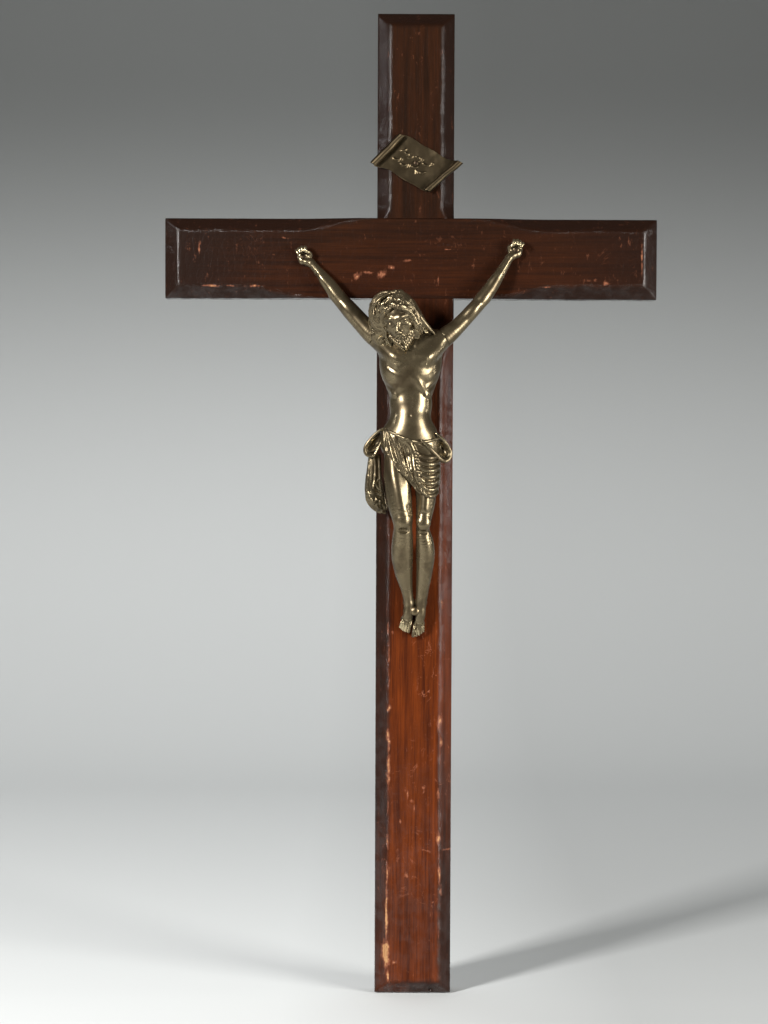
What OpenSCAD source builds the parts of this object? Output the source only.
// Hand and wall crucifix: two half-lapped boards, a cast corpus with separate arms, a scroll and a
// hanging ring.
// +Z is up and the front faces -Y. The origin lies on the flat back of the upright, at the height of the
// crossbar's centreline, so the boards fill Y from -board_t to 0.

/* [Boards] */
// Overall height of the upright
cross_h = 450; // [370:1:540]
// Overall length of the crossbar
bar_l = 225; // [185:1:270]
// Width of the upright
upright_w = 35; // [29:0.5:42]
// Width of the crossbar
bar_w = 36.5; // [30:0.5:44]
// Thickness of both boards
board_t = 18; // [15:0.5:22]
// Height of the upright's top end above the crossbar's centreline
top_rise = 111.5; // [92:0.5:134]
// Distance that the crossbar's middle lies left of the upright's
bar_shift = 2; // [0:0.5:5]
// Thickness that the crossbar keeps in front of the half-lap
lap_t = 9; // [7.5:0.5:11]

/* [Chamfers] */
// Width of the chamfers along the boards
chamfer_w = 5.5; // [3:0.25:7]
// Width of the bevels on the board ends
bevel_w = 6; // [4:0.25:8]
// Length over which a chamfer runs out
chamfer_runout = 34; // [20:1:45]
// Bare length kept between a chamfer's end and the crossbar, along the upright
chamfer_clear = 4; // [2:0.5:10]

/* [Lap screws] */
// Shank diameter of the two screws through the half-lap
lap_screw_d = 3.5; // [3:0.1:4]
// Head diameter of the lap screws
lap_screw_head_d = 7; // [6:0.1:8]
// Length of the lap screws
lap_screw_l = 13.5; // [11:0.5:14.5]
// Distance of each lap screw from the centreline, across and up
lap_screw_offset = 8.5; // [7:0.5:10]

/* [Hanger] */
// Depth of the recess in the upright's back
recess_depth = 4; // [3.6:0.1:5]
// Width of the recess
recess_w = 22; // [21:0.5:25]
// Distance of the hanging ring's hinge below the top end
hinge_drop = 31; // [27:0.5:36]
// Wire diameter of the hanging ring
ring_wire_d = 2; // [1.6:0.1:2.2]
// Inside width of the hanging ring
ring_inner_w = 14; // [12:0.5:15]
// Length of the ring's straight legs
ring_leg = 6; // [5:0.5:7]
// Thickness of the hanger strap
strap_t = 0.8; // [0.6:0.1:1]
// Width of the hanger strap
strap_w = 8; // [7:0.5:9]
// Height of the strap above the hinge
strap_rise = 11.5; // [10:0.5:12.5]
// Shank diameter of the strap's screw
strap_screw_d = 2.5; // [2:0.1:3]
// Head diameter of the strap's screw
strap_screw_head_d = 5; // [4.5:0.1:5.5]
// Length of the strap's screw
strap_screw_l = 9; // [7:0.5:10]

/* [Scroll] */
// Length of the scroll along its long edges
scroll_l = 28; // [23:0.5:34]
// Width of the scroll along its rolled ends
scroll_w = 19.5; // [16:0.5:24]
// Fall of the long edges towards +X, in degrees
scroll_fall = 24; // [10:1:35]
// Slope of the rolled ends, in degrees
scroll_roll_slope = 46; // [40:1:90]
// Thickness of the scroll's plate
scroll_t = 0.9; // [0.7:0.1:1.4]
// Diameter of the rolled ends
scroll_roll_d = 3.4; // [2.6:0.1:4.2]
// Height of the scroll's nail above the crossbar's centreline
scroll_rise = 43; // [36:0.5:55]

/* [Corpus] */
// Height of the cast figure from crown to toes
figure_h = 158; // [132:1:190]
// Diameter of the spigots that hold the arms in the shoulders
spigot_d = 2.6; // [2:0.1:3]
// Depth of the shoulder sockets
spigot_l = 3.5; // [2.5:0.5:4]

/* [Nails] */
// Head diameter of the nails through the hands
hand_nail_head_d = 2.6; // [2:0.1:3.2]
// Head diameter of the nail through the feet
foot_nail_head_d = 4.4; // [3.6:0.1:5]
// Head diameter of the scroll's pin
scroll_pin_head_d = 2; // [1.6:0.1:2.6]
// Shank diameter of the hand nails and the scroll's pin
small_shank_d = 1.2; // [1:0.1:1.6]
// Shank diameter of the nail through the feet
foot_shank_d = 1.8; // [1.4:0.1:2.2]
// Depth that each nail goes into the wood
nail_bite = 8; // [6:0.5:10]

/* [Fits] */
// Radial room round a nail or screw in the wood
bore_gap = 0.05; // [0.02:0.01:0.1]
// Radial room round a nail, pin or spigot in a casting
cast_gap = 0.2; // [0.1:0.05:0.3]
// Radial room round the hanging ring's straight bar
hinge_gap = 0.08; // [0.03:0.01:0.1]

/* [Hidden] */
$fn = 48;

cut_over = 1;                // how far a cutting solid reaches past the face it cuts
cutter = 60;                 // edge of the block that cuts a chamfer
runout_past = 0.2;           // share of its runout that a chamfer's cutter goes on past the arris
cast_fn = 20;                // roundness of the rounded lumps in a casting
strand_fn = 14;              // roundness of strands, folds and fingers
bore_fn = 24;                // roundness of the holes and spigots in a casting
seat_fn = 32;                // roundness of the seat for a nail's head
limb_sides = 20;             // sides of a lofted limb
bar_half = bar_w / 2;
upright_half = upright_w / 2;
bottom_z = top_rise - cross_h;
hinge_z = top_rise - hinge_drop;
hinge_y = -recess_depth + strap_t + hinge_gap + ring_wire_d / 2;
strap_outer_r = ring_wire_d / 2 + hinge_gap + strap_t;
ring_r = (ring_inner_w + ring_wire_d) / 2;
drawn_h = 158;               // height at which the figure is drawn, from crown to toes
figure_k = figure_h / drawn_h;

// Share of each arm that its chamfers run along: [lower edge, upper edge]
right_arm_runs = [0.86, 0.92];
left_arm_runs = [0.7, 0.97];

// Screws and nails
screw_rim = 0.4;             // height of a countersunk head's straight rim
screw_slot_w = 0.8;          // width of a screw's slot
screw_slot_deep = 0.9;       // depth of a screw's slot
screw_tip_r = 0.2;           // radius at a screw's tip
strap_screw_share = 0.58;    // share of the strap's height at which its screw sits
nail_dome_share = 0.36;      // height of a nail's domed head over its diameter
nail_point_share = 1.5;      // length of a nail's point over its shank's diameter
nail_tip_r = 0.1;            // radius at a nail's tip
dome_steps = 6;              // steps in the outline of a nail's domed head

// Places of the nails on the unscaled figure: [x, height]
right_palm = [-50.8, 0.4];
left_palm = [45.6, 3.8];
instep = [0.4, -160.4];
palm_seat = 2.1;             // height of the palm above the board, unscaled
instep_seat = 6.2;           // height of the instep above the board, unscaled
roll_lift = 0.2;             // room between the scroll's rolled ends and the board
recess_room = 1.5;           // room past the ring's bow inside the recess

// Blocks that trim the castings, unscaled
seam_block = 80;             // width of the block that holds all of an arm beyond its seam
seam_reach = 120;            // length of that block
behind_low = [-100, 0, -300];
behind_size = [200, 60, 400];
seat_clear = 12;             // height that a nail head's seat is cut clear of the casting

// ---------------------------------------------------------------- boards

// Cuts the arris that runs along +X from the origin, where the wood lies towards +Y and +Z.
// The chamfer is full width over length and then runs out; a runout of 0 ends it square.
module arris_cut(length, width, runout = 0) {
    depth = width / sqrt(2);
    rotate([45, 0, 0])
        linear_extrude(cutter, center = true)
            polygon([
                [-cut_over, -cutter], [-cut_over, depth], [length, depth],
                [length + runout * (1 + runout_past), -runout_past * depth],
                [length + runout * (1 + runout_past), -cutter]
            ]);
}

// A board standing on its end from z = 0 to z = length, its front face towards -Y at y = -board_t.
module blank(width, length) {
    translate([-width / 2, -board_t, 0])
        cube([width, board_t, length]);
}

// Cuts the two front arrises at one end of a standing blank.
// Each chamfer runs from that end for its own length.
module end_chamfers(width, left_run, right_run) {
    translate([-width / 2, -board_t, 0])
        rotate([0, -90, 0])
            mirror([0, 0, 1])
                arris_cut(left_run - chamfer_runout, chamfer_w, chamfer_runout);
    translate([width / 2, -board_t, 0])
        rotate([0, -90, 0])
            arris_cut(right_run - chamfer_runout, chamfer_w, chamfer_runout);
}

// Bevels the front edge of a standing blank's lower end.
module end_bevel(width) {
    translate([-width / 2 - cut_over, -board_t, 0])
        arris_cut(width + 2 * cut_over, bevel_w);
}

// Cuts both bevels and all four chamfers of a standing blank.
// The runs are the chamfers' lengths: [lower left, lower right, upper left, upper right].
module board_edges(width, length, runs) {
    end_chamfers(width, runs[0], runs[1]);
    end_bevel(width);
    translate([0, 0, length])
        mirror([0, 0, 1]) {
            end_chamfers(width, runs[2], runs[3]);
            end_bevel(width);
        }
}

// A plain rectangular recess that clears the ring both hanging and turned up.
module recess() {
    reach = ring_leg + ring_r + ring_wire_d / 2 + recess_room;
    translate([-recess_w / 2, -recess_depth, hinge_z - reach])
        cube([recess_w, recess_depth + cut_over, 2 * reach]);
}

module upright() {
    lower_run = -bar_half - chamfer_clear - bottom_z;
    upper_run = top_rise - bar_half - chamfer_clear;
    color("saddlebrown")
        difference() {
            translate([0, 0, bottom_z])
                difference() {
                    blank(upright_w, cross_h);
                    board_edges(upright_w, cross_h, [lower_run, lower_run, upper_run, upper_run]);
                }
            translate([-upright_half - cut_over, -board_t - cut_over, -bar_half])
                cube([upright_w + 2 * cut_over, lap_t + cut_over, bar_w]);
            recess();
            for (place = lap_screw_places)
                translate(place)
                    screw_hole(lap_screw_d, lap_screw_head_d, lap_screw_l);
            strap_screw_at()
                screw_hole(strap_screw_d, strap_screw_head_d, strap_screw_l);
            scroll_pin_at()
                nail_hole(small_shank_d, scroll_t);
            feet_nail_at()
                nail_hole(foot_shank_d, instep_seat * figure_k);
        }
}

module crossbar() {
    half = bar_l / 2;
    arm_left = half + bar_shift - upright_half;
    arm_right = half - bar_shift - upright_half;
    color("sienna")
        difference() {
            translate([half - bar_shift, 0, 0])
                rotate([0, -90, 0])
                    difference() {
                        blank(bar_w, bar_l);
                        board_edges(
                            bar_w, bar_l,
                            concat(arm_right * right_arm_runs, arm_left * left_arm_runs)
                        );
                    }
            translate([-upright_half, -board_t + lap_t, -bar_half - cut_over])
                cube([upright_w, board_t, bar_w + 2 * cut_over]);
            for (place = lap_screw_places)
                translate(place)
                    screw_hole(lap_screw_d, lap_screw_head_d, lap_screw_l);
            right_hand_nail_at()
                nail_hole(small_shank_d, palm_seat * figure_k);
            left_hand_nail_at()
                nail_hole(small_shank_d, palm_seat * figure_k);
        }
}

// ---------------------------------------------------------------- fasteners

lap_screw_places = [
    [-lap_screw_offset, 0, lap_screw_offset],
    [lap_screw_offset, 0, -lap_screw_offset]
];

// A slotted countersunk screw driven towards -Y, its head flush with y = 0.
module countersunk_screw(d, head_d, length) {
    cone_h = (head_d - d) / 2;
    point = d;
    rotate([90, 0, 0])
        difference() {
            rotate_extrude()
                polygon([
                    [0, 0], [head_d / 2, 0], [head_d / 2, screw_rim], [d / 2, screw_rim + cone_h],
                    [d / 2, length - point], [screw_tip_r, length], [0, length]
                ]);
            translate([-head_d, -screw_slot_w / 2, -cut_over])
                cube([2 * head_d, screw_slot_w, cut_over + screw_slot_deep]);
        }
}

// The hole that a countersunk screw fills, with bore_gap round it.
module screw_hole(d, head_d, length) {
    cone_h = (head_d - d) / 2;
    rim = screw_rim + bore_gap;
    head_r = head_d / 2 + bore_gap;
    shank_r = d / 2 + bore_gap;
    rotate([90, 0, 0])
        rotate_extrude()
            polygon([
                [0, -cut_over], [head_r, -cut_over], [head_r, rim], [shank_r, rim + cone_h],
                [shank_r, length + bore_gap], [0, length + bore_gap]
            ]);
}

// A round-headed nail driven towards +Y. Its seat, the head's underside, lies on y = 0.
module nail(shank_d, head_d, seat_h) {
    dome_h = head_d * nail_dome_share;
    length = seat_h + nail_bite;
    dome_r = (head_d * head_d / 4 + dome_h * dome_h) / (2 * dome_h);
    half_angle = asin(head_d / 2 / dome_r);
    dome = [
        for (i = [0 : dome_steps])
            let (a = half_angle * i / dome_steps)
            [dome_r * sin(a), -dome_h + dome_r * (1 - cos(a))]
    ];
    rotate([-90, 0, 0])
        rotate_extrude()
            polygon(concat(
                dome,
                [
                    [shank_d / 2, 0], [shank_d / 2, length - shank_d * nail_point_share],
                    [nail_tip_r, length], [0, length]
                ]
            ));
}

// The pilot hole in the wood behind a nail whose seat stands seat_h above the board.
module nail_hole(shank_d, seat_h) {
    rotate([-90, 0, 0])
        cylinder(d = shank_d + 2 * bore_gap, h = seat_h + nail_bite + bore_gap);
}

module scroll_pin_at() {
    translate([0, -board_t - scroll_t, scroll_rise])
        children();
}

module right_hand_nail_at() {
    translate([right_palm[0] * figure_k, -board_t - palm_seat * figure_k, right_palm[1] * figure_k])
        children();
}

module left_hand_nail_at() {
    translate([left_palm[0] * figure_k, -board_t - palm_seat * figure_k, left_palm[1] * figure_k])
        children();
}

module feet_nail_at() {
    translate([instep[0] * figure_k, -board_t - instep_seat * figure_k, instep[1] * figure_k])
        children();
}

module strap_screw_at() {
    translate([0, -recess_depth + strap_t, hinge_z + strap_rise * strap_screw_share])
        children();
}

module lap_screws() {
    color("goldenrod")
        for (place = lap_screw_places)
            translate(place)
                countersunk_screw(lap_screw_d, lap_screw_head_d, lap_screw_l);
}

module hanger_screw() {
    color("goldenrod")
        strap_screw_at()
            countersunk_screw(strap_screw_d, strap_screw_head_d, strap_screw_l);
}

module scroll_pin() {
    color("darkgoldenrod")
        scroll_pin_at()
            nail(small_shank_d, scroll_pin_head_d, scroll_t);
}

module right_hand_nail() {
    color("darkgoldenrod")
        right_hand_nail_at()
            nail(small_shank_d, hand_nail_head_d, palm_seat * figure_k);
}

module left_hand_nail() {
    color("darkgoldenrod")
        left_hand_nail_at()
            nail(small_shank_d, hand_nail_head_d, palm_seat * figure_k);
}

module feet_nail() {
    color("darkgoldenrod")
        feet_nail_at()
            nail(foot_shank_d, foot_nail_head_d, instep_seat * figure_k);
}

// ---------------------------------------------------------------- hanger

// A strap folded round the ring's straight bar and screwed to the floor of the recess.
module hanger_strap() {
    color("gold")
        difference() {
            union() {
                translate([-strap_w / 2, hinge_y, hinge_z])
                    rotate([0, 90, 0])
                        cylinder(r = strap_outer_r, h = strap_w);
                translate([-strap_w / 2, -recess_depth, hinge_z])
                    cube([strap_w, strap_t, strap_rise]);
            }
            translate([-strap_w / 2 - cut_over, hinge_y, hinge_z])
                rotate([0, 90, 0])
                    cylinder(r = ring_wire_d / 2 + hinge_gap, h = strap_w + 2 * cut_over);
            strap_screw_at()
                screw_hole(strap_screw_d, strap_screw_head_d, strap_screw_l);
        }
}

// A D-shaped ring: a straight bar through the strap, two legs and a half-round bow hanging down.
module hanger_ring() {
    wire_r = ring_wire_d / 2;
    color("gold")
        translate([0, hinge_y, hinge_z]) {
            translate([-ring_r, 0, 0])
                rotate([0, 90, 0])
                    cylinder(r = wire_r, h = 2 * ring_r);
            for (side = [-1, 1]) {
                translate([side * ring_r, 0, 0])
                    sphere(r = wire_r);
                translate([side * ring_r, 0, -ring_leg])
                    cylinder(r = wire_r, h = ring_leg);
            }
            translate([0, 0, -ring_leg])
                rotate([90, 0, 180])
                    rotate_extrude(angle = 180, start = 180)
                        translate([ring_r, 0])
                            circle(r = wire_r);
        }
}

// ---------------------------------------------------------------- scroll

// A skewed strip of sheet with both short ends rolled forwards.
module scroll() {
    along = [cos(scroll_fall), -sin(scroll_fall)] * scroll_l / 2;
    across = [cos(scroll_roll_slope), sin(scroll_roll_slope)] * scroll_w / 2;
    roll_r = scroll_roll_d / 2;
    color("olivedrab")
        translate([0, -board_t, scroll_rise])
            difference() {
                union() {
                    rotate([90, 0, 0])
                        linear_extrude(scroll_t)
                            polygon([-along - across, along - across, along + across, -along + across]);
                    for (side = [-1, 1])
                        translate([side * along[0], -roll_r - roll_lift, side * along[1]])
                            rotate([0, 90 - scroll_roll_slope, 0])
                                cylinder(r = roll_r, h = scroll_w, center = true);
                }
                rotate([90, 0, 0])
                    cylinder(d = small_shank_d + 2 * cast_gap, h = 4 * scroll_t, center = true);
            }
}

// ---------------------------------------------------------------- corpus

// Figure points are [x, forward, height]: forward is the distance in front of the board's face.
function to_space(p) = [p[0], -p[1], p[2]];
function direction(a, b) = (b - a) / norm(b - a);
function tangent(points, i) =
    direction(points[max(i - 1, 0)], points[min(i + 1, len(points) - 1)]);

// One ring of a limb. A station is [x, forward, height, half width, half depth].
function limb_ring(points, station, i) =
    let (
        ahead = tangent(points, i),
        side = direction([0, 0, 0], cross(ahead, [0, 1, 0])),
        depth = cross(side, ahead)
    )
    [
        for (k = [0 : limb_sides - 1])
            let (a = 360 * k / limb_sides)
            points[i] + side * (station[3] * cos(a)) + depth * (station[4] * sin(a))
    ];

// Lofts a closed solid through the stations, with flat ends.
module limb(stations) {
    points = [for (s = stations) to_space(s)];
    rings = [for (i = [0 : len(stations) - 1]) limb_ring(points, stations[i], i)];
    last = (len(stations) - 1) * limb_sides;
    walls = [
        for (i = [0 : len(stations) - 2])
            for (k = [0 : limb_sides - 1])
                let (
                    k2 = (k + 1) % limb_sides,
                    a = i * limb_sides,
                    b = a + limb_sides
                )
                each [[a + k, a + k2, b + k2], [a + k, b + k2, b + k]]
    ];
    lower_end = [for (k = [0 : limb_sides - 1]) limb_sides - 1 - k];
    upper_end = [for (k = [0 : limb_sides - 1]) last + k];
    polyhedron(
        points = [for (ring = rings) each ring],
        faces = concat([lower_end], walls, [upper_end]),
        convexity = 6
    );
}

// An ellipsoid at a figure point.
module lump(p, radii) {
    translate(to_space(p))
        scale(radii)
            sphere(r = 1, $fn = cast_fn);
}

// A strand, fold or finger: rounded at each of its points, which are [x, forward, height, radius].
module strand(points) {
    for (i = [0 : len(points) - 2])
        hull()
            for (p = [points[i], points[i + 1]])
                translate(to_space(p))
                    sphere(r = p[3], $fn = strand_fn);
}

trunk = [
    [-3.2, 9, -33, 7, 4.5], [-2.2, 10, -37, 13.5, 7], [-1.7, 11.2, -42, 15.6, 8.8],
    [-1.6, 11.6, -48, 15.2, 9.3], [-1.6, 11.2, -55, 13.6, 8.4], [-1.6, 10.6, -62, 11.4, 7.4],
    [-1.6, 10.4, -68, 10.4, 7], [-1.8, 10.2, -74, 11.6, 8.4], [-1.9, 9.8, -80, 13, 10],
    [-1.4, 9.8, -88, 13.6, 10.4], [0.2, 10.6, -97, 11.4, 9.8], [3.4, 11.8, -105, 7.4, 8.4]
];
right_leg = [
    [-6.6, 12.2, -90, 6.8, 7.2], [-6.6, 14, -104, 6.3, 6.8],
    [-6.1, 15.6, -114, 5.4, 5.8], [-5.2, 16.4, -121, 4.7, 5], [-5, 15.8, -126, 4.4, 4.6],
    [-5.4, 13.6, -131, 4.7, 4.6], [-5.7, 11.6, -137, 4.9, 4.6], [-5, 9.2, -144, 4, 4],
    [-3.7, 6.4, -150, 2.9, 3.4], [-2.8, 4.2, -156, 2.5, 4], [-2.8, 3.2, -162, 2.8, 3.6],
    [-3, 2.2, -168, 3, 2.6], [-3.2, 1.6, -171, 2.3, 2]
];
left_leg = [
    [4.4, 11.6, -90, 5.9, 7], [4.2, 13, -104, 5.2, 6.4],
    [3.9, 14.4, -114, 4.1, 5.4], [3.7, 15, -121, 3.4, 4.6], [3.7, 14.6, -126, 3.4, 4.3],
    [4.3, 12.8, -131, 4, 4.4], [4.7, 11, -137, 4.1, 4.4], [4.3, 9, -144, 3.6, 3.8],
    [3.6, 6.4, -150, 2.9, 3.4], [3.1, 4.2, -156, 2.6, 4], [3.1, 3.2, -162, 2.8, 3.6],
    [3.2, 2.2, -169, 3, 2.6], [3.1, 1.6, -172, 2.3, 2]
];
right_arm = [
    [-9, 9, -41.5, 5, 5], [-13.5, 9, -38.5, 5, 4.8], [-18.5, 8.6, -34.4, 4.3, 4.3],
    [-24.5, 7.8, -29.6, 3.7, 3.8], [-31, 6.8, -24.4, 3.4, 3.6], [-36.6, 5.9, -19.6, 3, 3.2],
    [-40, 5.2, -15.6, 2.8, 2.9], [-44, 4.2, -10.2, 2.3, 2.3], [-47.6, 3.2, -5, 1.8, 1.8],
    [-50, 2.7, -1, 2.6, 1.9], [-50.9, 2.6, 1.4, 2.6, 1.6]
];
left_arm = [
    [5, 9, -41.5, 5, 5], [9, 9, -38.5, 5, 4.8], [13.8, 8.6, -35, 4.4, 4.3],
    [19.6, 7.8, -30.8, 3.7, 3.8], [25.6, 6.8, -26.2, 3.4, 3.6], [31, 5.9, -21.2, 3, 3.2],
    [34.4, 5.2, -16.4, 2.8, 2.9], [38.6, 4.2, -9.4, 2.3, 2.3], [42.6, 3.2, -2.4, 1.8, 1.8],
    [44.8, 2.7, 2, 2.6, 1.9], [45.6, 2.6, 4.4, 2.6, 1.6]
];
right_seam = [-17.4, 8.6, -35.3];
left_seam = [12.6, 8.6, -35.9];
right_reach = direction(to_space(right_seam), to_space([-24.5, 7.8, -29.6]));
left_reach = direction(to_space(left_seam), to_space([19.6, 7.8, -30.8]));

// Points +Z along a direction.
module aim(v) {
    rotate([0, acos(v[2]), atan2(v[1], v[0])])
        children();
}

// Everything beyond the shoulder seam, where the arm is a casting of its own.
module beyond_seam(seam, reach) {
    translate(to_space(seam))
        aim(reach)
            translate([-seam_block / 2, -seam_block / 2, 0])
                cube([seam_block, seam_block, seam_reach]);
}

module spigot(seam, reach, gap) {
    translate(to_space(seam))
        aim(reach)
            translate([0, 0, -spigot_l / figure_k - gap])
                cylinder(
                    d = spigot_d / figure_k + 2 * gap,
                    h = spigot_l / figure_k + 2 * gap,
                    $fn = bore_fn
                );
}

// The nail's hole through a casting, with a flat seat for its head.
module cast_nail_hole(place, seat, shank_d, head_d) {
    translate([place[0], 0, place[1]])
        rotate([90, 0, 0]) {
            translate([0, 0, -cut_over])
                cylinder(d = shank_d / figure_k + 2 * cast_gap, h = seat + 2 * cut_over, $fn = bore_fn);
            translate([0, 0, seat])
                cylinder(d = head_d / figure_k + 2 * cast_gap, h = seat_clear, $fn = seat_fn);
        }
}

// Carries the figure's own coordinates to the board's front face and keeps what lies in front of it.
module on_board() {
    translate([0, -board_t, 0])
        scale(figure_k)
            difference() {
                children();
                translate(behind_low)
                    cube(behind_size);
            }
}

module head() {
    lump([-10.4, 20, -27], [8.2, 8.6, 10.6]);
    strand([[-4.5, 11, -39, 4.8], [-9, 18, -30, 4.4]]);
    strand([[-11, 22, -33, 5], [-11.4, 24.5, -37.5, 3.4]]);
    strand([[-5, 17, -19, 4], [-2.2, 15, -25, 3.4], [1.6, 13, -31, 2.8], [5.6, 11, -35.5, 2]]);
    strand([[-16, 19, -20, 3.6], [-18, 18, -27, 3.2], [-17.6, 17, -34, 2.8], [-16, 17, -40, 2]]);
}

// The loops of cloth on both hips and the end that hangs on one side.
module loose_cloth() {
    strand([[-13, 8, -76, 1.8], [-21.5, 8, -84, 1.6], [-19, 8, -88, 2]]);
    strand([[-19.6, 7, -92, 2.4], [-19, 6, -104, 4], [-17.6, 6, -112, 4], [-15, 5, -116, 2.4]]);
    strand([[11, 10, -80, 1.4], [15.6, 10, -87, 1.4], [13, 10, -93, 1.6]]);
}

module corpus_body() {
    color("darkkhaki")
        on_board()
            difference() {
                union() {
                    limb(trunk);
                    limb(right_leg);
                    limb(left_leg);
                    limb(right_arm);
                    limb(left_arm);
                    head();
                    loose_cloth();
                }
                beyond_seam(right_seam, right_reach);
                beyond_seam(left_seam, left_reach);
                spigot(right_seam, right_reach, cast_gap);
                spigot(left_seam, left_reach, cast_gap);
                cast_nail_hole(instep, instep_seat, foot_shank_d, foot_nail_head_d);
            }
}

// Curls five fingers forward round the palm. The hand's middle is at palm, and it leans lean degrees.
module fingers(palm, lean) {
    for (i = [0 : 4]) {
        a = lean + (i - 2) * 34;
        out = [sin(a), cos(a)];
        hull()
            for (p = [[2.2, 1.6, 0.8], [3.1, 3.2, 0.75], [2.5, 4.6, 0.6]])
                translate(to_space([palm[0] + out[0] * p[0], p[1], palm[1] + out[1] * p[0]]))
                    sphere(r = p[2], $fn = strand_fn);
    }
    hull()
        for (side = [-1, 1])
            lump([palm[0] + side * 1.2, 1.4, palm[1] + 0.4], [2, 1.2, 2.4]);
}

module arm_casting(stations, seam, reach, palm, lean) {
    color("khaki")
        on_board()
            difference() {
                union() {
                    intersection() {
                        limb(stations);
                        beyond_seam(seam, reach);
                    }
                    fingers(palm, lean);
                    spigot(seam, reach, 0);
                }
                cast_nail_hole(palm, palm_seat, small_shank_d, hand_nail_head_d);
            }
}

module corpus_right_arm() {
    arm_casting(right_arm, right_seam, right_reach, right_palm, -28);
}

module corpus_left_arm() {
    arm_casting(left_arm, left_seam, left_reach, left_palm, 22);
}

upright();
crossbar();
lap_screws();
hanger_strap();
hanger_ring();
hanger_screw();
scroll();
scroll_pin();
corpus_body();
corpus_right_arm();
corpus_left_arm();
right_hand_nail();
left_hand_nail();
feet_nail();
